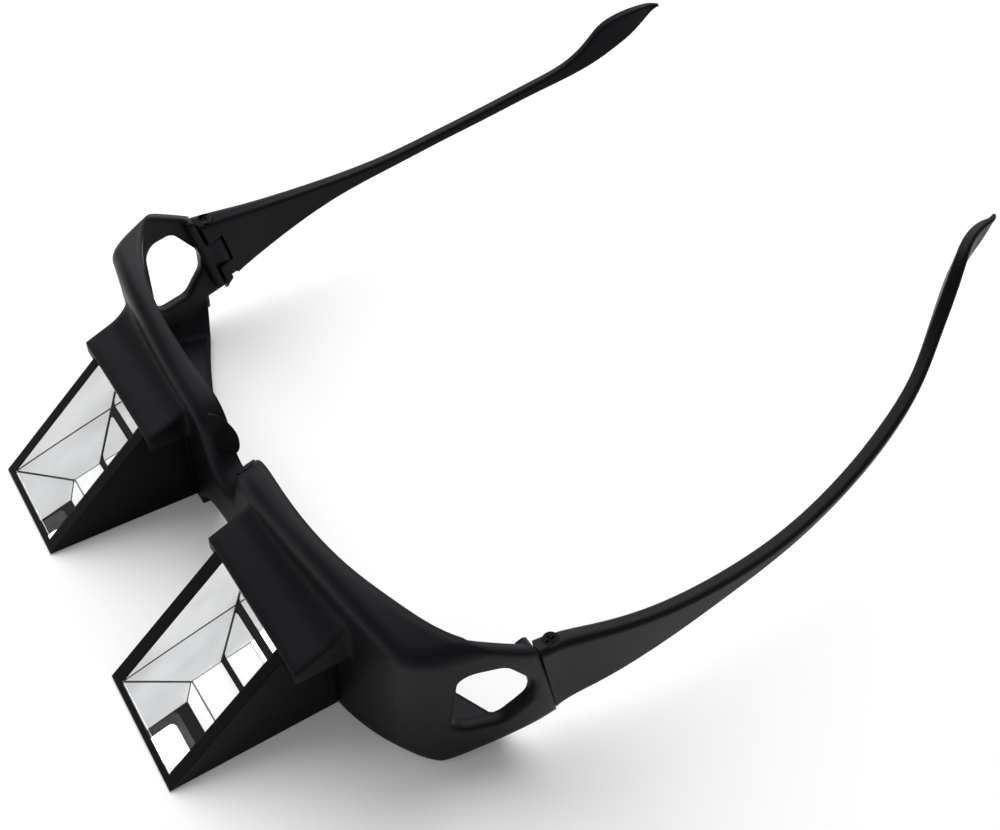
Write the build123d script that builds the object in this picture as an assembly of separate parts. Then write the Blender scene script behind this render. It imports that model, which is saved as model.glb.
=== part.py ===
from build123d import *
from math import cos, radians, sin, tan
import os

# Prism bed glasses, lying upside down: brow edge down, nose opening up.
# +X is the wearer's right side, +Y runs back along the temples, +Z is up.
# Places along Y are measured from the front tips of the prisms until the end,
# when the whole model moves so that its origin is the middle of its footprint.

# Glass and its housing
glass_slope = 43.6
glass_inner_x = 20.5
glass_width = 22.5
glass_depth = 31.4
glass_top = 23.0
medial_wall = 3.1
lateral_wall = 2.6
cover_thickness = 0.8
mirror_thickness = 0.3
cover_margin = 1.3
glass_clearance = 0.08
mirror_gap = 0.02
housing_clearance = 0.15
bezel_thickness = 1.8
bezel_border = 3.2
bezel_corner = 1.6

# Front frame
wall = 2.4
face_y = 33.0
face_height = 40.0
half_span = 73.2
bridge_rear_y = 38.4
bridge_solid = 9.5
bridge_foot = 16.0
brow_arch_width = 14.0
brow_arch_height = 8.0
split_height = 16.0
roof_slope = 20.0
roof_edge_round = 3.4
floor_thickness = 1.8
side_top = 40.8
side_top_y = 44.3
side_fall = 20.3
side_turn = 25.8
side_slant = 25.0
shoulder_x = 57.0
shoulder_run = 7.0
underside_x = 66.9
underside_y = 44.3
underside_turn = 10.8
underside_lift = 40.4
heel_y = 60.5
heel_drop = 13.8
heel_run = 1.2
heel_rise = 19.8
heel_lean = 45.0
vent_front_y = 45.2
vent_low = 11.5
vent_depth = 14.5
vent_height = 19.9
vent_round = 3.6

# Nose pads on the flanks of the nose opening
pad_thickness = 0.6
pad_length = 8.6
pad_width = 4.6
pad_y = 37.0
pad_z = 27.4

# Hood over each prism
hood_medial_overlap = 2.7
hood_lateral_overlap = 4.6
hood_front_y = 24.15
hood_lip_rise = 1.0
hood_slope = 25.0
hood_straight = 5.85
hood_rear_z = 33.0
hood_skirt = 21.2

# Temple
temple_reach = 120.6
temple_rise = 46.4
temple_bow = 5.4
temple_hinge_height = 24.6
temple_hinge_thickness = 4.4

# Hinge
hinge_tilt = 15.6
hinge_y = 65.4
hinge_z = 21.9
knuckle_reach = 3.2
lug_radius = 1.35
lug_height = 8.0
lug_gap = 0.2
seam_gap = 0.2
slot_room = 0.25
boss_length = 2.2
notch_height = 0.7
notch_run = 0.7
seat_depth = 3.5
nut_seat_depth = 4.9
screw_radius = 0.7
screw_running = 0.05
screw_head_radius = 1.5
screw_head_height = 0.9
screw_head_room = 0.05
screw_cross_length = 1.9
screw_cross_width = 0.4
screw_cross_depth = 0.45
nut_radius = 1.45
nut_height = 1.0

overrun = 30.0

housing_inner_x = glass_inner_x - medial_wall
housing_outer_x = glass_inner_x + glass_width + lateral_wall
housing_width = housing_outer_x - housing_inner_x
glass_bottom = cover_thickness + mirror_thickness
slope_rate = tan(radians(glass_slope))
glass_front_y = glass_bottom / slope_rate
glass_rear_y = glass_front_y + glass_depth
wrap_depth = hinge_y - face_y
hood_low = housing_inner_x - hood_medial_overlap
hood_high = housing_outer_x + hood_lateral_overlap
hinge_half = temple_hinge_thickness / 2
hinge_x = half_span - hinge_half
seam_y = -(knuckle_reach + seam_gap)
seat_z = temple_hinge_height / 2 - seat_depth
nut_seat_z = temple_hinge_height / 2 - nut_seat_depth
screw_hole_radius = screw_radius + screw_running
recess_radius = screw_head_radius + screw_head_room


def box_between(low, high):
    """A box from its lowest to its highest corner."""
    size = [b - a for a, b in zip(low, high)]
    middle = [(a + b) / 2 for a, b in zip(low, high)]
    return Pos(*middle) * Box(*size)


def side_profile(points, x_low, x_high):
    """Extrude a closed outline of (y, z) points from x_low to x_high."""
    outline = Plane.YZ.offset(x_low) * make_face(Polyline(*points, close=True))
    return extrude(outline, amount=x_high - x_low, dir=(1, 0, 0))


def wedge(bottom, rear_y, top, lift, x_low, x_high):
    """The right-angled wedge under the sloping face, lifted along its normal by lift."""
    rise = lift / cos(radians(glass_slope))
    front_y = (bottom - rise) / slope_rate
    top_y = (top - rise) / slope_rate
    points = [(front_y, bottom), (rear_y, bottom), (rear_y, top), (top_y, top)]
    return side_profile(points, x_low, x_high)


def prism():
    """The glass: a wedge whose longest face shows at the front."""
    low, high = glass_inner_x, glass_inner_x + glass_width
    return wedge(glass_bottom, glass_rear_y, glass_top, 0, low, high)


def mirror_coating():
    """The silvered layer under the glass."""
    low = (glass_inner_x, glass_front_y, cover_thickness)
    high = (glass_inner_x + glass_width, glass_rear_y, glass_bottom - mirror_gap)
    return box_between(low, high)


def mirror_cover():
    """The plate that closes the underside of the housing over the silvered layer."""
    low = (glass_inner_x - cover_margin, glass_front_y + cover_margin, 0)
    high = (glass_inner_x + glass_width + cover_margin, glass_rear_y - cover_margin, cover_thickness)
    return box_between(low, high)


def prism_housing():
    """The open wedge box round the glass, with a step for the cover in its underside."""
    body = wedge(0, glass_rear_y, glass_top, 0, housing_inner_x, housing_outer_x)
    low = glass_inner_x - glass_clearance
    high = glass_inner_x + glass_width + glass_clearance
    pocket_low = cover_thickness
    body -= wedge(pocket_low, glass_rear_y + overrun, glass_top + overrun, glass_clearance, low, high)
    cover_low = (glass_inner_x - cover_margin, glass_front_y + cover_margin, -overrun)
    cover_high = (glass_inner_x + glass_width + cover_margin, glass_rear_y - cover_margin, cover_thickness)
    return body - box_between(cover_low, cover_high)


def window_cutter(low_y, high_y):
    """The rounded eye window, cut through between two places along Y."""
    width = housing_width - 2 * bezel_border
    height = glass_top - 2 * bezel_border
    outline = Plane.XZ * RectangleRounded(width, height, bezel_corner)
    cutter = extrude(outline, amount=high_y - low_y)
    middle_x = (housing_inner_x + housing_outer_x) / 2
    return Pos(middle_x, high_y, glass_top / 2) * cutter


def eye_bezel():
    """The window frame behind the glass."""
    rear_y = glass_rear_y + bezel_thickness
    plate = box_between((housing_inner_x, glass_rear_y, 0), (housing_outer_x, rear_y, glass_top))
    return plate - window_cutter(glass_rear_y - wall, rear_y + wall)


# Plan outlines as shares of the half span and of the wrap depth behind the face.
brow_shares = [(0.219, 0.0), (0.574, 0.028), (0.915, 0.349), (0.968, 0.66), (1.0, 0.94)]
cheek_shares = [(0.219, 0.0), (0.63, 0.04), (0.885, 0.11), (0.965, 0.5), (1.0, 0.84)]
far_back_share = 1.5
stretch_samples = [3, 4, 6, 5, 3]
across_share = 0.3
vent_shares = [(0.0, 0.0), (0.66, 0.0), (1.0, 0.28), (1.0, 0.58), (0.55, 1.0), (0.0, 1.0)]


def plan_face(shares, height, inset):
    """Plan of the face at one height: one smooth curve from the bridge round to the side."""
    bend, brow, corner, side, end = [(sx * half_span, face_y + sy * wrap_depth) for sx, sy in shares]
    far_y = face_y + far_back_share * wrap_depth
    gentle = TangentArc(bend, brow, tangent=(1, 0))
    stretches = [
        Line((-overrun, face_y), bend),
        gentle,
        TangentArc(brow, corner, tangent=gentle % 1),
        ThreePointArc(corner, side, end),
        Line(end, (end[0], far_y)),
    ]
    places = [(-overrun, face_y + inset)]
    for stretch, count in zip(stretches, stretch_samples):
        for i in range(count):
            middle = (i + 1 / 2) / count
            place, along = stretch @ middle, stretch % middle
            places.append((place.X - inset * along.Y, place.Y + inset * along.X))
    places.append((end[0] - inset, far_y))
    back = Polyline(places[-1], (-overrun, far_y), places[0])
    return Pos(0, 0, height) * make_face(Wire(Curve() + [Spline(*places), back]))


def plan_body(inset):
    """Ruled body between the brow plan and the cheek plan."""
    lower = plan_face(brow_shares, 0, inset)
    upper = plan_face(cheek_shares, face_height, inset)
    return loft([lower, upper], ruled=True)


# Front view of the notch and the cheek edge as shares of the half span and the face height.
notch_shares = [(0.0, 0.537), (0.065, 0.62), (0.085, 0.74), (0.135, 0.825)]
cheek_edge_shares = [(0.24, 0.86), (0.36, 0.89), (0.48, 0.93), (0.6, 0.955), (0.74, 0.95), (0.9, 0.9), (1.4, 0.7)]


def roof_region(drop):
    """Everything below the cheek edge and the nose notch, seen from the front."""
    shares = notch_shares + cheek_edge_shares
    edge = [(sx * half_span, sz * face_height - drop) for sx, sz in shares]
    edges = [
        Spline(*edge),
        Polyline(edge[-1], (edge[-1][0], -overrun), (0, -overrun), edge[0]),
    ]
    return make_face(Wire(Curve() + edges))


def roof_prism(inset):
    """The roof region swept forward and down along the roof slope."""
    forward = Vector(0, -cos(radians(roof_slope)), -sin(radians(roof_slope)))
    drop = inset / cos(radians(roof_slope))
    start = Vector(0, bridge_rear_y, 0) - forward * overrun
    face = Plane(start, x_dir=(1, 0, 0), z_dir=(0, -1, 0)) * roof_region(drop)
    return extrude(face, amount=2 * overrun, dir=forward)


def side_prism(inset):
    """Side view of the face: flat under the brow, with a top edge falling towards the hinge."""
    end_y = hinge_y + overrun
    fall = tan(radians(side_fall))
    points = [
        (-overrun, inset),
        (end_y, inset),
        (end_y, side_top - fall * (end_y - side_top_y)),
        (-overrun, side_top + fall * (side_top_y + overrun)),
    ]
    return side_profile(points, -overrun, half_span + overrun)


def beyond_plane(place, along, across, inset=0):
    """Everything on the far side of the plane that holds a place and two directions."""
    normal = across.cross(along).normalized()
    size = 2 * half_span
    plane = Plane(Vector(*place) + normal * inset, z_dir=normal)
    return plane.location * Pos(0, 0, -size / 2) * Box(size, size, size)


def under_lift(inset):
    """The space under the slanted underside that lifts the side wall off the table."""
    turn, lift = radians(underside_turn), radians(underside_lift)
    along = Vector(-sin(turn), cos(turn), 0)
    across = Vector(cos(lift), 0, sin(lift))
    return beyond_plane((underside_x, underside_y, 0), along, across, inset)


def heel_cut():
    """The space under the thin lower edge of the side wall next to the hinge."""
    rise, lean = radians(heel_rise), radians(heel_lean)
    along = Vector(0, cos(rise), sin(rise))
    across = Vector(cos(lean), 0, -sin(lean))
    place = (half_span, hinge_y + heel_run, hinge_z - heel_drop)
    rear = box_between((0, heel_y, -overrun), (half_span + overrun, hinge_y + overrun, face_height))
    return beyond_plane(place, along, across) & rear


def shoulder_cut():
    """The space over the top edge of the side wall, which slopes down to the inside."""
    turn, fall = radians(side_turn), tan(radians(side_fall))
    along = Vector(tan(turn), 1, -fall)
    across = Vector(-cos(turn), sin(turn), -tan(radians(side_slant)))
    place_y = hinge_y - shoulder_run
    place = (half_span, place_y, side_top - fall * (place_y - side_top_y))
    outer = box_between((shoulder_x, 0, 0), (half_span + overrun, hinge_y + overrun, 2 * face_height))
    return beyond_plane(place, along, across) & outer


def behind(curve_shares, low, high):
    """Everything behind a plan curve between two heights."""
    place = [(sx * half_span, bridge_rear_y + sy * wrap_depth) for sx, sy in curve_shares]
    far_y = face_y + far_back_share * wrap_depth
    edges = [
        Spline(*place),
        Polyline(place[-1], (place[-1][0], far_y), (-overrun, far_y), (-overrun, place[0][1]), place[0]),
    ]
    face = Pos(0, 0, low) * make_face(Wire(Curve() + edges))
    return extrude(face, amount=high - low)


def hinge_plane():
    """Plane across the hinge axis: x outward, z along the tilted screw."""
    tilt = radians(hinge_tilt)
    return Plane((hinge_x, hinge_y, hinge_z), x_dir=(1, 0, 0), z_dir=(0, -sin(tilt), cos(tilt)))


def hinge_box(low, high):
    """A box given in the hinge plane's own directions."""
    return hinge_plane().location * box_between(low, high)


def hinge_cylinder(radius, low, high):
    """A cylinder along the hinge axis."""
    middle = Pos(0, 0, (low + high) / 2)
    return hinge_plane().location * middle * Cylinder(radius, high - low)


def hood():
    """The plate over the top of a prism, sweeping up into the front wall behind it."""
    rear_y = face_y + wall
    slope = radians(hood_slope)
    front_z = hood_front_y * slope_rate + hood_lip_rise
    bend = (hood_front_y + hood_straight, front_z + hood_straight * tan(slope))
    sweep = TangentArc(bend, (rear_y, hood_rear_z), tangent=(cos(slope), sin(slope)))
    skirt = Polyline(
        (rear_y, hood_rear_z), (rear_y, hood_skirt), (hood_front_y, hood_skirt), (hood_front_y, front_z), bend
    )
    outline = Plane.YZ.offset(hood_low) * make_face(Wire(Curve() + [sweep, skirt]))
    return extrude(outline, amount=hood_high - hood_low, dir=(1, 0, 0))


# Rear edges in plan as shares of the half span and of the wrap depth behind the bridge.
roof_rear_shares = [(0.0, 0.0), (0.13, 0.0), (0.34, -0.02), (0.61, 0.01), (0.76, 0.1), (0.85, 0.18), (0.98, 0.42)]
brow_rear_shares = [(0.0, 0.0), (0.3, 0.075), (0.6, 0.325), (0.724, 0.432), (0.899, 0.605), (1.1, 0.78)]


def bridge_core():
    """The solid stretch of the face round the nose bridge."""
    points = [(-overrun, -overrun), (bridge_foot, -overrun), (bridge_foot, 0), (bridge_solid, face_height)]
    outline = Plane.XZ * make_face(Polyline(*points, (-overrun, face_height), close=True))
    return extrude(outline, amount=half_span + overrun, both=True)


def front_top_edges(body):
    """The edges where the roof meets the front wall, from the nose to the side."""
    found = []
    for edge in body.edges():
        middle = edge.center()
        high = middle.Z > split_height and middle.Y < side_top_y - wall
        if high and abs((edge % 0.5).X) > across_share:
            found.append(edge)
    return found


def face_solid():
    """The outside of one half of the face, with its soft top edge."""
    body = plan_body(0) & side_prism(0) & roof_prism(0)
    body = fillet(front_top_edges(body), roof_edge_round)
    return body - under_lift(0) - shoulder_cut()


def vent_cutter():
    """The hole through the side wall, straight in front and round behind."""
    points = [(vent_front_y + sy * vent_depth, vent_low + sz * vent_height) for sy, sz in vent_shares]
    outline = make_face(Polyline(*points, close=True))
    outline = fillet(outline.vertices(), vent_round)
    return extrude(Plane.YZ.offset(half_span - overrun) * outline, amount=2 * overrun)


def housing_slot():
    """Room for the housing and the bezel, and the window through the wall behind them."""
    low_x = housing_inner_x - housing_clearance
    high_x = housing_outer_x + housing_clearance
    rear_y = glass_rear_y + bezel_thickness + housing_clearance
    slot = wedge(-overrun, rear_y, glass_top + housing_clearance, housing_clearance, low_x, high_x)
    return slot + window_cutter(glass_rear_y, rear_y + wall + wall)


def hinge_lug():
    """The tongue that carries the screw, with its round end about the hinge axis."""
    half = lug_height / 2
    lug = hinge_cylinder(lug_radius, -half, half)
    return lug + hinge_box((-lug_radius, seam_y - boss_length, -half), (lug_radius, 0, half))


def seam_notch():
    """The small V cut in the top corner of the frame at the seam."""
    top = temple_hinge_height / 2
    points = [
        (seam_y, top - notch_height),
        (seam_y - notch_run, top),
        (seam_y - notch_run - overrun, top + overrun),
        (seam_y + overrun, top + overrun),
    ]
    outline = Plane.YZ.offset(-overrun) * make_face(Polyline(*points, close=True))
    return hinge_plane().location * extrude(outline, amount=2 * overrun)


def half_frame():
    """The wearer's right half of the front frame."""
    solid = face_solid()
    body = solid + (hood() & roof_prism(0))
    inner = plan_body(wall)
    hollow = (inner & side_prism(floor_thickness) & roof_prism(wall)) - bridge_core()
    body -= hollow - under_lift(floor_thickness)
    body -= inner & behind(roof_rear_shares, split_height, 2 * face_height)
    body -= inner & behind(brow_rear_shares, -overrun, split_height)
    body -= housing_slot()
    body -= extrude(Plane.XZ * Ellipse(brow_arch_width, brow_arch_height), amount=half_span, both=True)
    body -= vent_cutter()
    boss_low = (-hinge_half, seam_y - boss_length, -temple_hinge_height / 2)
    body += hinge_box(boss_low, (hinge_half, seam_y + wall, temple_hinge_height / 2)) & solid
    body -= heel_cut()
    behind_seam = (-2 * half_span, seam_y, -2 * temple_hinge_height)
    body -= hinge_box(behind_seam, (overrun, 2 * overrun, 2 * temple_hinge_height))
    body -= seam_notch()
    body += hinge_lug()
    body -= hinge_cylinder(screw_hole_radius, -lug_height, lug_height)
    return body


# Temple sections: along, up and out from the hinge, then height and thickness.
temple_shares = [
    (0.060, -0.002, 0.380, 0.757, 0.84),
    (0.168, 0.030, 0.750, 0.490, 0.73),
    (0.292, 0.084, 0.907, 0.262, 0.70),
    (0.427, 0.151, 0.851, 0.155, 0.68),
    (0.549, 0.246, 0.555, 0.131, 0.68),
    (0.673, 0.373, -0.037, 0.131, 0.68),
    (0.764, 0.498, -0.760, 0.139, 0.64),
    (0.828, 0.621, -1.575, 0.177, 0.64),
    (0.868, 0.739, -2.149, 0.268, 0.64),
    (0.895, 0.837, -2.537, 0.335, 0.59),
    (0.924, 0.903, -2.834, 0.306, 0.545),
    (0.967, 0.965, -3.000, 0.148, 0.41),
    (0.997, 0.987, -3.149, 0.033, 0.18),
]
temple_round_share = 0.3
temple_slant_share = 0.1


def temple_section(tall, thick):
    """A rounded section of the arm, lower on its inner side than on its outer side."""
    half, side, slant = tall / 2, thick / 2, tall * temple_slant_share
    outline = Polyline((side, -half), (side, half), (-side, half - slant), (-side, slant - half), close=True)
    section = make_face(outline)
    return fillet(section.vertices(), min(tall, thick) * temple_round_share)


def temple_arm():
    """The long curved arm, lofted from the tall hinge end to the leaf at the ear."""
    tilt = radians(hinge_tilt)
    back = Vector(0, cos(tilt), sin(tilt))
    hinge = Vector(hinge_x, hinge_y, hinge_z)
    axis = Vector(0, -sin(tilt), cos(tilt))
    drop = heel_drop - temple_hinge_height / 2
    places = [hinge - back * knuckle_reach - axis * drop / 2]
    sizes = [(temple_hinge_height + drop, temple_hinge_thickness)]
    for along, up, out, tall, thick in temple_shares:
        places.append(hinge + Vector(out * temple_bow, along * temple_reach, up * temple_rise))
        sizes.append((tall * temple_hinge_height, thick * temple_hinge_thickness))
    sections = []
    for i, (place, (tall, thick)) in enumerate(zip(places, sizes)):
        ahead = places[min(i + 1, len(places) - 1)]
        heading = back if i == 0 else (ahead - places[i - 1]).normalized()
        sideways = heading.cross(Vector(0, 0, 1)).normalized()
        sections.append(Plane(place, x_dir=sideways, z_dir=heading) * temple_section(tall, thick))
    return loft(sections)


def temple():
    """The arm with its two knuckles, the screw recesses and the rounded inner corner."""
    body = temple_arm()
    half = lug_height / 2 + lug_gap
    body -= hinge_box((-overrun, -overrun, -half), (lug_radius + lug_gap, lug_radius + slot_room, half))
    tall = temple_hinge_height
    corner = hinge_box((-overrun, -overrun, -tall), (0, 0, tall))
    body -= corner - hinge_cylinder(knuckle_reach, -2 * tall, 2 * tall)
    body -= hinge_cylinder(screw_hole_radius, -tall, tall)
    body -= hinge_cylinder(recess_radius, seat_z, tall)
    body -= hinge_cylinder(recess_radius, -tall, -nut_seat_z)
    return body


def hinge_screw():
    """The pin of the hinge with its flat cross head."""
    body = hinge_cylinder(screw_radius, -nut_seat_z - nut_height, seat_z)
    top = seat_z + screw_head_height
    body += hinge_cylinder(screw_head_radius, seat_z, top)
    length, width = screw_cross_length / 2, screw_cross_width / 2
    floor = top - screw_cross_depth
    body -= hinge_box((-length, -width, floor), (length, width, top + overrun))
    return body - hinge_box((-width, -length, floor), (width, length, top + overrun))


def hinge_nut():
    """The six-sided nut at the low end of the screw."""
    outline = RegularPolygon(nut_radius, 6) - Circle(screw_hole_radius)
    return hinge_plane().location * Pos(0, 0, -nut_seat_z - nut_height) * extrude(outline, amount=nut_height)


def nose_pad():
    """An oval pad laid on the flank of the nose opening."""
    flank = roof_prism(0)
    layer = (Pos(-pad_thickness, 0, 0) * flank) - flank
    oval = Plane.YZ * Pos(pad_y, pad_z) * Rot(0, 0, roof_slope) * Ellipse(pad_width / 2, pad_length / 2)
    return layer & extrude(oval, amount=half_span)


def main():
    right_pieces = {
        "prism_housing": prism_housing(),
        "prism": prism(),
        "mirror": mirror_coating(),
        "mirror_cover": mirror_cover(),
        "eye_bezel": eye_bezel(),
        "nose_pad": nose_pad(),
        "temple": temple(),
        "hinge_screw": hinge_screw(),
        "hinge_nut": hinge_nut(),
    }
    half = half_frame()
    pieces = {"front_frame": half + mirror(half, about=Plane.YZ)}
    for name, piece in right_pieces.items():
        pieces["right_" + name] = piece
        pieces["left_" + name] = mirror(piece, about=Plane.YZ)
    rear_y = max(piece.bounding_box().max.Y for piece in pieces.values())
    os.makedirs("parts", exist_ok=True)
    for name, piece in pieces.items():
        export_step(Pos(0, -rear_y / 2, 0) * piece, "parts/" + name + ".step")


main()
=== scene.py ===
# %% [markdown]
# Prism bed glasses
#
# These glasses let someone who lies flat read a book that stands on their chest: a glass
# wedge in front of each eye turns the view downward. They lie upside down here, on the
# brow edge and on the two wedges, with the temples open.
#
# The solid pieces come from a CAD model that is packed with its hinges. They could be
# modelled again in Blender, but then they would no longer fit those hinges. So this
# lesson leaves them where they are and gives them what a photograph shows: a camera, a
# white surface, light, a finish for every piece, and the ground faces of the glass.

import math

import bmesh
import bpy
from mathutils import Matrix, Vector


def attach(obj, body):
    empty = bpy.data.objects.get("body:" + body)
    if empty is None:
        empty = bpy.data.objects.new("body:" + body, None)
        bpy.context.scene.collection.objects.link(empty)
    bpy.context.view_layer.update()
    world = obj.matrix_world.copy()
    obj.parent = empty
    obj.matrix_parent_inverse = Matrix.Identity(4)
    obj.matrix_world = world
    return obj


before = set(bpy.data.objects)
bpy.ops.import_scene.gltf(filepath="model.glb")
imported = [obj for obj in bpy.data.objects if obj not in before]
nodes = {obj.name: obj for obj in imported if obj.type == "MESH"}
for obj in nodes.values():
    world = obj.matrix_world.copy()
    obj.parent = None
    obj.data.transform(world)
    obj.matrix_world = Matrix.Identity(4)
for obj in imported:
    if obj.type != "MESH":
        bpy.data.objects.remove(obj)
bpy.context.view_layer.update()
print("solid pieces:", len(nodes))

# %% [markdown]
# The camera
#
# The photograph was taken from above, in front of the glasses and to the wearer's right.
# A camera can be placed by eye, but that takes many tries and never quite fits. This one
# was fitted to pairs of points that mirror each other across the glasses, which gives
# its place, its direction and its lens together. The fit ends in the three axes of the
# camera, so they are written here as they are and make up its rotation.

# %% Camera
lens_mm = 39.735
sensor_mm = 36
nearest_view = 0.01
camera_place = Vector((0.1481, -0.1080, 0.1922))
camera_right = Vector((0.5665, 0.8210, 0.0719))
camera_up = Vector((-0.6099, 0.3590, 0.7067))
camera_back = Vector((0.5542, -0.4442, 0.7041))

camera_data = bpy.data.cameras.new("photo_camera")
camera_data.sensor_width = sensor_mm
camera_data.lens = lens_mm
camera_data.clip_start = nearest_view
camera = bpy.data.objects.new("photo_camera", camera_data)
bpy.context.scene.collection.objects.link(camera)
turn = Matrix((camera_right, camera_up, camera_back)).transposed().to_4x4()
camera.matrix_world = Matrix.Translation(camera_place) @ turn
bpy.context.scene.camera = camera
print("camera height in mm:", round(camera_place.z * 1000))

# %% [markdown]
# True colours
#
# Blender can bend the tones of a picture as a film does, which turns white paper grey.
# The Standard view leaves every colour as it is written, so black plastic and white
# paper can be set straight from what the photograph shows.

# %% Colour view
bpy.context.scene.view_settings.view_transform = "Standard"
print("view:", bpy.context.scene.view_settings.view_transform)

# %% [markdown]
# Helpers for materials
#
# A material is a small net of nodes. Most of the lines that build one only set plain
# values and make new nodes, so two short functions take that work over, and each finish
# below shows what is special about it.


# %% Material helpers
def new_look(name):
    """A new material, given back with its net of nodes and its main shader."""
    look = bpy.data.materials.new(name)
    look.use_nodes = True
    return look, look.node_tree, look.node_tree.nodes["Principled BSDF"]


def set_inputs(node, values):
    """Writes plain values on the named inputs of a node."""
    for label, value in values.items():
        node.inputs[label].default_value = value


print("material helpers: new_look and set_inputs")

# %% [markdown]
# The white surface
#
# The glasses lie on white paper that fills the whole picture. More light could make the
# paper white, but it would make the black plastic grey as well. Instead the paper and
# the world are made brighter only where the camera sees them, directly or through the
# glass. The background stays white, and the soft shadow is all that shows of it.


# %% Rays that the camera sees
def seen_by_camera(tree):
    """1 on rays from the camera, straight or through the glass, and 0 on all others."""
    path = tree.nodes.new("ShaderNodeLightPath")
    seen = tree.nodes.new("ShaderNodeMath")
    seen.operation = "MAXIMUM"
    tree.links.new(path.outputs["Is Camera Ray"], seen.inputs[0])
    tree.links.new(path.outputs["Is Transmission Ray"], seen.inputs[1])
    return seen.outputs["Value"]


# %% Paper
paper_width = 6
paper_gap = 0.0003
paper_lift = 0.06
paper_white = (0.9, 0.9, 0.91, 1)

bpy.ops.mesh.primitive_plane_add(size=paper_width, location=(0, 0, -paper_gap))
paper = bpy.context.object
paper.name = "paper"
paper_look, tree, shader = new_look("white_paper")
set_inputs(shader, {"Base Color": paper_white, "Roughness": 0.9})
set_inputs(shader, {"Specular IOR Level": 0.1, "Emission Color": (1, 1, 1, 1)})
lift = tree.nodes.new("ShaderNodeMath")
lift.operation = "MULTIPLY"
lift.inputs[1].default_value = paper_lift
tree.links.new(seen_by_camera(tree), lift.inputs[0])
tree.links.new(lift.outputs["Value"], shader.inputs["Emission Strength"])
paper.data.materials.append(paper_look)
print("paper lies below the glasses by mm:", round(paper_gap * 1000, 1))

# %% [markdown]
# The world
#
# The world is the light that comes from everywhere. It fills the shadows evenly, as the
# white walls of a photo studio do. A picture of such a studio could stand there, but
# satin black plastic hardly mirrors it, so plain white will do. Its light is weak, so
# that the plastic stays dark, and the camera sees it at full white, like the paper.

# %% World
fill_strength = 0.37
background_strength = 1

world = bpy.data.worlds.new("studio")
bpy.context.scene.world = world
world.use_nodes = True
tree = world.node_tree
tree.nodes.clear()
choice = tree.nodes.new("ShaderNodeMixShader")
tree.links.new(seen_by_camera(tree), choice.inputs["Fac"])
for slot, strength in ((1, fill_strength), (2, background_strength)):
    light = tree.nodes.new("ShaderNodeBackground")
    set_inputs(light, {"Color": (1, 1, 1, 1), "Strength": strength})
    tree.links.new(light.outputs["Background"], choice.inputs[slot])
surface = tree.nodes.new("ShaderNodeOutputWorld")
tree.links.new(choice.outputs["Shader"], surface.inputs["Surface"])
print("world strength, and what the camera sees of it:", fill_strength, background_strength)

# %% [markdown]
# The lamp
#
# The shadow in the photograph is soft and falls towards the camera. A sun would draw it
# with a sharp edge. One wide square lamp, high up and beyond the far temple, gives the
# soft shadow and the gentle shine along the upper edges of the frame.

# %% Lamp
lamp_place = Vector((-0.9, 0.3, 1.3))
lamp_aim = Vector((0, -0.03, 0))
lamp_width = 2.2
lamp_power = 40

lamp_data = bpy.data.lights.new("overhead", "AREA")
lamp_data.shape = "SQUARE"
lamp_data.size = lamp_width
lamp_data.energy = lamp_power
lamp = bpy.data.objects.new("overhead", lamp_data)
lamp.location = lamp_place
lamp.rotation_euler = (lamp_aim - lamp_place).to_track_quat("-Z", "Y").to_euler()
bpy.context.scene.collection.objects.link(lamp)
print("lamp distance and width in m:", round((lamp_aim - lamp_place).length, 2), lamp_width)

# %% [markdown]
# Patterns that several finishes share
#
# No real surface has one even tone. Two patterns are enough for these glasses: a cloud,
# which varies a value softly over a surface, and the satin grain of the moulded plastic.
# Each could be rebuilt in every material. As a node group it is built once, and every
# material places it with its own values. Both read the piece's own coordinates, so the
# pattern stays on a temple when the temple folds.

# %% Ranges of noise
full_range = (0, 1)
calm_range = (0.3, 0.7)
print("noise can reach", full_range, "and mostly stays within", calm_range)


# %% Helpers for patterns
def new_group(name, inputs, outputs):
    """An empty node group with named sockets, given back with its two end nodes."""
    group = bpy.data.node_groups.new(name, "ShaderNodeTree")
    for in_out, sockets in (("INPUT", inputs), ("OUTPUT", outputs)):
        for label, kind in sockets.items():
            socket_type = "NodeSocket" + kind
            group.interface.new_socket(name=label, in_out=in_out, socket_type=socket_type)
    return group, group.nodes.new("NodeGroupInput"), group.nodes.new("NodeGroupOutput")


def noise_on_piece(tree):
    """A noise pattern that is fixed to the piece."""
    place = tree.nodes.new("ShaderNodeTexCoord")
    noise = tree.nodes.new("ShaderNodeTexNoise")
    tree.links.new(place.outputs["Object"], noise.inputs["Vector"])
    return noise


def stretch(tree, value, low, high, fills=full_range):
    """Maps a noise value from the range that it fills to the range from low to high."""
    node = tree.nodes.new("ShaderNodeMapRange")
    set_inputs(node, {"From Min": fills[0], "From Max": fills[1], "To Min": low, "To Max": high})
    tree.links.new(value, node.inputs["Value"])
    return node.outputs["Result"]


def shade_mix(tree, shade):
    """Multiplies a colour, its input A, by a value that varies over the surface."""
    mix = tree.nodes.new("ShaderNodeMix")
    mix.data_type = "RGBA"
    mix.blend_type = "MULTIPLY"
    mix.inputs["Factor"].default_value = 1
    tree.links.new(shade, mix.inputs["B"])
    return mix


print("pattern helpers: new_group, noise_on_piece, stretch and shade_mix")

# %% [markdown]
# The cloud
#
# Haze in glass, tarnish on metal and the milky tone of ground glass are all the same
# thing at another size: a value that drifts over the surface. The group takes the size
# of the clouds and the lowest and highest value, so each finish can ask for what it
# needs, and a reader sees those numbers where the finish is made.


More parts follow.
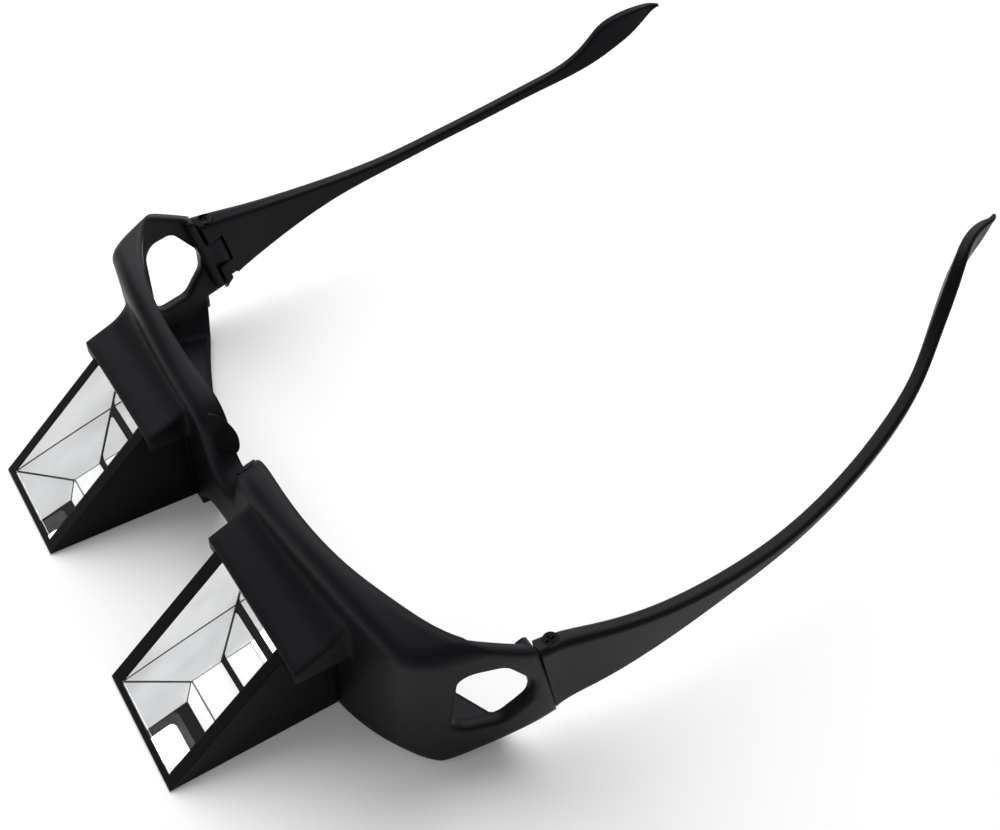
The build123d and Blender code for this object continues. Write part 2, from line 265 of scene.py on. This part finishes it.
# %% Cloud group
def cloud_group():
    """A noise value, stretched from the range that it fills to the range from Low to High."""
    labels = ("Size", "Detail", "From Low", "From High", "Low", "High")
    group, ins, outs = new_group("soft_cloud", dict.fromkeys(labels, "Float"), {"Value": "Float"})
    noise = noise_on_piece(group)
    group.links.new(ins.outputs["Size"], noise.inputs["Scale"])
    group.links.new(ins.outputs["Detail"], noise.inputs["Detail"])
    result = stretch(group, noise.outputs["Fac"], 0, 1)
    ends = {"From Low": "From Min", "From High": "From Max", "Low": "To Min", "High": "To Max"}
    for label, end in ends.items():
        group.links.new(ins.outputs[label], result.node.inputs[end])
    group.links.new(result, outs.inputs["Value"])
    return group


soft_cloud = cloud_group()


def cloud(tree, size, low, high, detail=2, fills=full_range):
    """Places the cloud group in a material and gives its value."""
    node = tree.nodes.new("ShaderNodeGroup")
    node.node_tree = soft_cloud
    set_inputs(node, {"Size": size, "Detail": detail, "Low": low, "High": high})
    set_inputs(node, {"From Low": fills[0], "From High": fills[1]})
    return node.outputs["Value"]


print("group:", soft_cloud.name, "with", len(soft_cloud.nodes), "nodes")

# %% [markdown]
# The satin grain
#
# A mould for such frames is blasted, and the plastic takes over its fine grain. The
# grain is far too fine to model, so it is a relief in the shading. Over it lies a wide
# cloud, because the plastic is a little duller in some places than in others.

# %% Satin grain group
wide_cloud_size = 45
shade_range = (0.88, 1.06)
satin_range = (0.36, 0.46)


def satin_group():
    """Colour, roughness and fine relief of moulded plastic."""
    inputs = {"Base": "Color", "Grain Size": "Float"}
    outputs = {"Color": "Color", "Roughness": "Float", "Height": "Float"}
    group, ins, outs = new_group("satin_grain", inputs, outputs)
    grain = noise_on_piece(group)
    grain.inputs["Detail"].default_value = 3
    group.links.new(ins.outputs["Grain Size"], grain.inputs["Scale"])
    wide_cloud = noise_on_piece(group)
    set_inputs(wide_cloud, {"Scale": wide_cloud_size, "Detail": 4})
    tone = shade_mix(group, stretch(group, wide_cloud.outputs["Fac"], *shade_range, calm_range))
    roughness = stretch(group, wide_cloud.outputs["Fac"], *satin_range, calm_range)
    group.links.new(ins.outputs["Base"], tone.inputs["A"])
    group.links.new(tone.outputs["Result"], outs.inputs["Color"])
    group.links.new(roughness, outs.inputs["Roughness"])
    group.links.new(grain.outputs["Fac"], outs.inputs["Height"])
    return group


satin = satin_group()
print("group:", satin.name, "with", len(satin.nodes), "nodes")

# %% [markdown]
# Black plastic
#
# Frame, housings and temples are moulded in black plastic with a fine satin grain. It is
# never quite black: the lit faces look dark grey with a touch of violet. A plain glossy
# black would show hard reflections of the lamp, which the photograph does not have, so
# the shine is weak, slightly violet, and broken up by the grain. Moulded edges are also
# a little round. The Bevel node rounds them in the shading only, and the mesh stays.

# %% Plastic finish
satin_shine = 0.11
violet_sheen = (0.92, 0.91, 1, 1)
grain_depth = 0.0001
edge_samples = 8


def plastic(name, base, grain_size, bump, edge_radius=0.0004):
    """Satin plastic with its own colour, grain and softness of edges."""
    look, tree, shader = new_look(name)
    set_inputs(shader, {"Specular IOR Level": satin_shine, "Specular Tint": violet_sheen})
    grain = tree.nodes.new("ShaderNodeGroup")
    grain.node_tree = satin
    set_inputs(grain, {"Base": base, "Grain Size": grain_size})
    soft_edge = tree.nodes.new("ShaderNodeBevel")
    soft_edge.samples = edge_samples
    soft_edge.inputs["Radius"].default_value = edge_radius
    relief = tree.nodes.new("ShaderNodeBump")
    set_inputs(relief, {"Strength": bump, "Distance": grain_depth})
    tree.links.new(soft_edge.outputs["Normal"], relief.inputs["Normal"])
    tree.links.new(grain.outputs["Height"], relief.inputs["Height"])
    tree.links.new(grain.outputs["Color"], shader.inputs["Base Color"])
    tree.links.new(grain.outputs["Roughness"], shader.inputs["Roughness"])
    tree.links.new(relief.outputs["Normal"], shader.inputs["Normal"])
    print("finish:", name)
    return look


# %% [markdown]
# Frame
#
# The frame is one moulding, and its hoods flow into the front wall without a line. In
# the solid piece they meet at an edge. Rounding the mesh would do most, but the mesh is
# the CAD's. A wide radius for the soft edge at least lets the light run over it as it
# does on the real moulding.

# %% Frame finish
frame_edge_radius = 0.0022
frame_base = (0.0055, 0.0052, 0.0068, 1)
frame_black = plastic(
    "frame_plastic_look", frame_base, grain_size=2600, bump=0.25, edge_radius=frame_edge_radius
)

# %% [markdown]
# Housings and temples
#
# In the photograph the wedge housings look blacker than the frame, and the temples lie
# between the two. They could each have a finish of their own. But all are the same kind
# of plastic, so only the base colour and the grain change. These darker base colours
# are painted shade, strongest on the housings and weaker on the temples.

# %% Housing and temple finish
# The darker bases of housings and temples are painted shade on the frame's plastic.
housing_painted_shade_base = (0.0012, 0.0012, 0.0016, 1)
temple_painted_shade_base = (0.0038, 0.0036, 0.0046, 1)
housing_painted_shade_black = plastic("housing_plastic_look", housing_painted_shade_base, grain_size=2200, bump=0.2)
temple_painted_shade_black = plastic("temple_plastic_look", temple_painted_shade_base, grain_size=2600, bump=0.25)

# %% [markdown]
# Covers, bezels and nose pads
#
# The cover under each mirror and the bezel behind each wedge are plain inner parts, with
# a coarser grain. The nose pads touch the skin and are soft, so their grain is the
# coarsest. The photograph hides all of them, so these finishes are guesses. Bright
# guesses would draw the eye, and black ones stay quiet.

# %% Inner part finishes
inner_base = (0.0045, 0.0045, 0.005, 1)
rubber_base = (0.006, 0.006, 0.007, 1)
cover_black = plastic("cover_plastic_look", inner_base, grain_size=1500, bump=0.35)
bezel_black = plastic("bezel_plastic_look", inner_base, grain_size=1800, bump=0.3)
pad_black = plastic("pad_rubber_look", rubber_base, grain_size=1200, bump=0.3)

# %% [markdown]
# Glass
#
# Each wedge is a solid block of clear glass. The pattern of grey and white facets in it
# could be painted on, but it would slide wrongly as soon as the view changes. Here it
# comes from the glass itself: rays bend at the slanted face and are thrown back by the
# base and the sides. A faint green tint and a trace of haze keep it from looking empty.

# %% Glass finish
greenish = (0.965, 0.98, 0.975, 1)
clearer = (0.985, 0.985, 0.985, 1)
haze_size = 120
haze_roughness = 0.006


def prism_glass(name):
    """Clear glass with a slightly uneven tint and polish."""
    look, tree, shader = new_look(name)
    set_inputs(shader, {"Transmission Weight": 1, "IOR": 1.5})
    tint = tree.nodes.new("ShaderNodeMix")
    tint.data_type = "RGBA"
    set_inputs(tint, {"A": greenish, "B": clearer})
    tree.links.new(cloud(tree, haze_size, 0, 1), tint.inputs["Factor"])
    tree.links.new(tint.outputs["Result"], shader.inputs["Base Color"])
    tree.links.new(cloud(tree, haze_size, 0, haze_roughness), shader.inputs["Roughness"])
    print("finish:", name)
    return look


glass = prism_glass("prism_glass_look")

# %% [markdown]
# Silvering, screws and nuts
#
# Three metals are on these glasses. The silvering of the wedge is bright and almost
# perfectly smooth. The hinge screws and nuts are blackened, so they hardly show against
# the plastic. Each could have its own code, but only colour, polish and tarnish differ,
# so one function makes all three. The tarnish is much stronger on the dark metals.


# %% Metal finishes
def metal(name, base, smooth, rough, size, tarnish):
    """Metal with roughness from smooth to rough, and a tone that varies by the tarnish."""
    look, tree, shader = new_look(name)
    shader.inputs["Metallic"].default_value = 1
    tone = shade_mix(tree, cloud(tree, size, 1 - tarnish, 1 + tarnish))
    tone.inputs["A"].default_value = base
    tree.links.new(tone.outputs["Result"], shader.inputs["Base Color"])
    tree.links.new(cloud(tree, size, smooth, rough), shader.inputs["Roughness"])
    print("finish:", name)
    return look


silver_base = (0.93, 0.94, 0.95, 1)
screw_base = (0.008, 0.008, 0.009, 1)
nut_base = (0.02, 0.019, 0.018, 1)
silver = metal("silvering_look", silver_base, smooth=0, rough=0.03, size=60, tarnish=0.015)
steel = metal("screw_steel_look", screw_base, smooth=0.4, rough=0.55, size=700, tarnish=0.5)
dark_nut = metal("nut_blackened_look", nut_base, smooth=0.35, rough=0.5, size=500, tarnish=0.4)

# %% [markdown]
# Dressing the solid pieces
#
# Right and left pieces are the same kind of thing, so one list names the finish of each
# kind. A loop is safer than 19 lines, because no piece can be forgotten.

# %% Dress the solid pieces
looks = {
    "front_frame": frame_black,
    "prism_housing": housing_painted_shade_black,
    "prism": glass,
    "mirror": silver,
    "mirror_cover": cover_black,
    "eye_bezel": bezel_black,
    "temple": temple_painted_shade_black,
    "hinge_screw": steel,
    "hinge_nut": dark_nut,
    "nose_pad": pad_black,
}
for name, node in nodes.items():
    piece = name.replace("right_", "").replace("left_", "")
    node.data.materials.clear()
    node.data.materials.append(looks[piece])
print("dressed", len(nodes), "pieces")

# %% [markdown]
# Ground glass
#
# A prism maker polishes only the faces that light has to pass. The others stay ground
# and milky, and they are the light grey and white areas deep inside the glass. Real
# ground glass glows because light scatters about in the whole block. That would take
# very many rays to work out, so the ground faces here give off a weak light instead:
# a painted glow that stands in for the scattered light.

# %% Ground glass finish
tone_spread = 0.12
ground_cloud = {"size": 70, "detail": 5, "fills": calm_range}


def ground_glass(name, tone, glow_low, glow_high):
    """A milky face with a tone of its own and a painted glow from glow_low to glow_high."""
    look, tree, shader = new_look(name)
    set_inputs(shader, {"Roughness": 0.8, "Specular IOR Level": 0, "Emission Strength": 1})
    milk = cloud(tree, low=tone * (1 - tone_spread), high=tone * (1 + tone_spread), **ground_cloud)
    glow = cloud(tree, low=glow_low, high=glow_high, **ground_cloud)
    tree.links.new(milk, shader.inputs["Base Color"])
    tree.links.new(glow, shader.inputs["Emission Color"])
    print("finish:", name)
    return look


# The emission of these ground faces is a painted glow, not a lamp.
ground = ground_glass("ground_side_look", tone=0.7, glow_low=0.3, glow_high=0.36)
# The top's glow is far brighter than the sides', a painted light for the white patches in the
# glass.
ground_top = ground_glass("ground_top_look", tone=0.8, glow_low=0.7, glow_high=0.8)

# %% [markdown]
# Plates inside the glass
#
# A ground or silvered face is a layer on the glass, thinner than a hair. The faces of
# the wedge could carry these finishes themselves, but the wedge is a CAD piece with one
# material, and its mesh must stay as it is. So each layer is a thin closed plate just
# inside the glass. It moves with the front of the glasses, because the wedges do.


# %% Plate helper
def finished_plate(name, mesh, finishes):
    """Turns a plate's bmesh into a piece that moves with the front of the glasses."""
    data = bpy.data.meshes.new(name)
    mesh.to_mesh(data)
    mesh.free()
    plate = bpy.data.objects.new(name, data)
    bpy.context.scene.collection.objects.link(plate)
    for finish in finishes:
        data.materials.append(finish)
    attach(plate, "face")
    print("plate:", name, "with", len(data.polygons), "faces")
    return plate


# %% [markdown]
# The outline of a side
#
# The ground plate has to fit the side of its wedge. Its corners could be typed in, but
# they would be wrong as soon as the wedge changes. So they are read from the wedge: all
# its corners that lie farthest out, put in order by their angle round the middle.

# %% Outline of a side
same_place = 1e-5


def side_outline(wedge, outward):
    """Where a flat side lies, its corners in their order round it, and their middle."""
    points = [v.co for v in wedge.data.vertices]
    side_x = max(p.x * outward for p in points) * outward
    corners = {(round(p.y, 6), round(p.z, 6)) for p in points if abs(p.x - side_x) < same_place}
    middle = tuple(sum(corner[axis] for corner in corners) / len(corners) for axis in (0, 1))
    order = sorted(corners, key=lambda c: math.atan2(c[1] - middle[1], c[0] - middle[0]))
    return side_x, order, middle


print("corners of the right wedge's side:", len(side_outline(nodes["right_prism"], 1)[1]))

# %% [markdown]
# Ground sides with their sealing line
#
# The corners make one face, and extruding that face gives the plate its thickness. Along
# the edges of each side the photograph shows a thin dark line, taken here for the paint
# that seals them. An inset makes a rim for that paint. It could have one width all
# round, but here it starts with no width, and the milky middle is then shrunk by a share
# of its size, so that the rim keeps its proportion on any wedge. Extruding leaves the
# order of the new faces to chance, so corners, edges and faces are sorted at the end,
# and every run gives the same mesh.

# %% Sealing line finish
paint_base = (0.006, 0.006, 0.007, 1)
sealing_black = plastic("sealing_line_look", paint_base, grain_size=1800, bump=0.2)

# %% Ground side plates
side_depth = 0.00003
side_thickness = 0.00004
plate_share = 0.995
sealing_share = 0.035
milky_share = plate_share - sealing_share
odd_direction = Vector((1, 0.37, 0.61))


def along_odd_direction(part):
    """How far a corner, edge or face lies along a slanted direction, to sort it by."""
    corners = [part] if isinstance(part, bmesh.types.BMVert) else part.verts
    return sum(corner.co.dot(odd_direction) for corner in corners) / len(corners)


def ground_side(name, wedge, outward):
    """A thin plate just inside one flat side of a wedge, with a sealing line round it."""
    side_x, order, middle = side_outline(wedge, outward)
    from_middle = Matrix.Translation((0, -middle[0], -middle[1]))

    def shrink(corners, share):
        bmesh.ops.scale(mesh, vec=(1, share, share), space=from_middle, verts=corners)

    mesh = bmesh.new()
    corners = [mesh.verts.new((side_x - outward * side_depth, y, z)) for y, z in order]
    shrink(corners, plate_share)
    near_face = mesh.faces.new(corners)
    made = bmesh.ops.extrude_face_region(mesh, geom=[near_face])["geom"]
    far_face = next(part for part in made if isinstance(part, bmesh.types.BMFace))
    bmesh.ops.translate(mesh, vec=(-outward * side_thickness, 0, 0), verts=far_face.verts)
    for milky_face in (near_face, far_face):
        bmesh.ops.inset_individual(mesh, faces=[milky_face], thickness=0)
        shrink(milky_face.verts, milky_share / plate_share)
    for face in mesh.faces:
        face.material_index = 0 if face in (near_face, far_face) else 1
    bmesh.ops.recalc_face_normals(mesh, faces=mesh.faces)
    for parts in (mesh.verts, mesh.edges, mesh.faces):
        parts.sort(key=along_odd_direction)
    return finished_plate(name, mesh, [ground, sealing_black])


# %% [markdown]
# Silvered base and ground top
#
# The base of the wedge is its mirror: it turns the view towards the book. The narrow top
# is taken to be ground, and its bright painted glow gives the white patches in the glass.
# Both are flat and four-sided, so a cube, scaled thin and moved into place, is the
# simplest plate.

# %% Flat plates
flat_thickness = 0.00005
side_margin = 0.0001
front_margin = 3 * side_margin
back_margin = side_margin


def flat_plate(name, wedge, upward, finish):
    """A thin plate just inside the flat base or the flat top of a wedge."""
    points = [v.co for v in wedge.data.vertices]
    level = max(p.z * upward for p in points) * upward
    low_x = min(p.x for p in points) + side_margin
    high_x = max(p.x for p in points) - side_margin
    low_y = min(p.y for p in points if abs(p.z - level) < same_place) + front_margin
    high_y = max(p.y for p in points) - back_margin
    size = (high_x - low_x, high_y - low_y, flat_thickness)
    middle = ((low_x + high_x) / 2, (low_y + high_y) / 2, level - upward * flat_thickness)

    mesh = bmesh.new()
    corners = bmesh.ops.create_cube(mesh, size=1)["verts"]
    bmesh.ops.scale(mesh, vec=size, verts=corners)
    bmesh.ops.translate(mesh, vec=middle, verts=corners)
    return finished_plate(name, mesh, [finish])


# %% [markdown]
# Plates for both wedges
#
# The left wedge is the mirror image of the right one. Its plates could be mirrored, but
# a mirrored mesh is inside out. Measuring each wedge on its own gives plates that fit
# without turning anything round, and only the outward direction changes its sign.

# %% Place the plates
outward_x = {"right": 1, "left": -1}

for side, outward in outward_x.items():
    wedge = nodes[side + "_prism"]
    flat_plate(side + "_silvered_base", wedge, -1, silver)
    flat_plate(side + "_ground_top", wedge, 1, ground_top)
    ground_side(side + "_ground_inner", wedge, -outward)
    ground_side(side + "_ground_outer", wedge, outward)
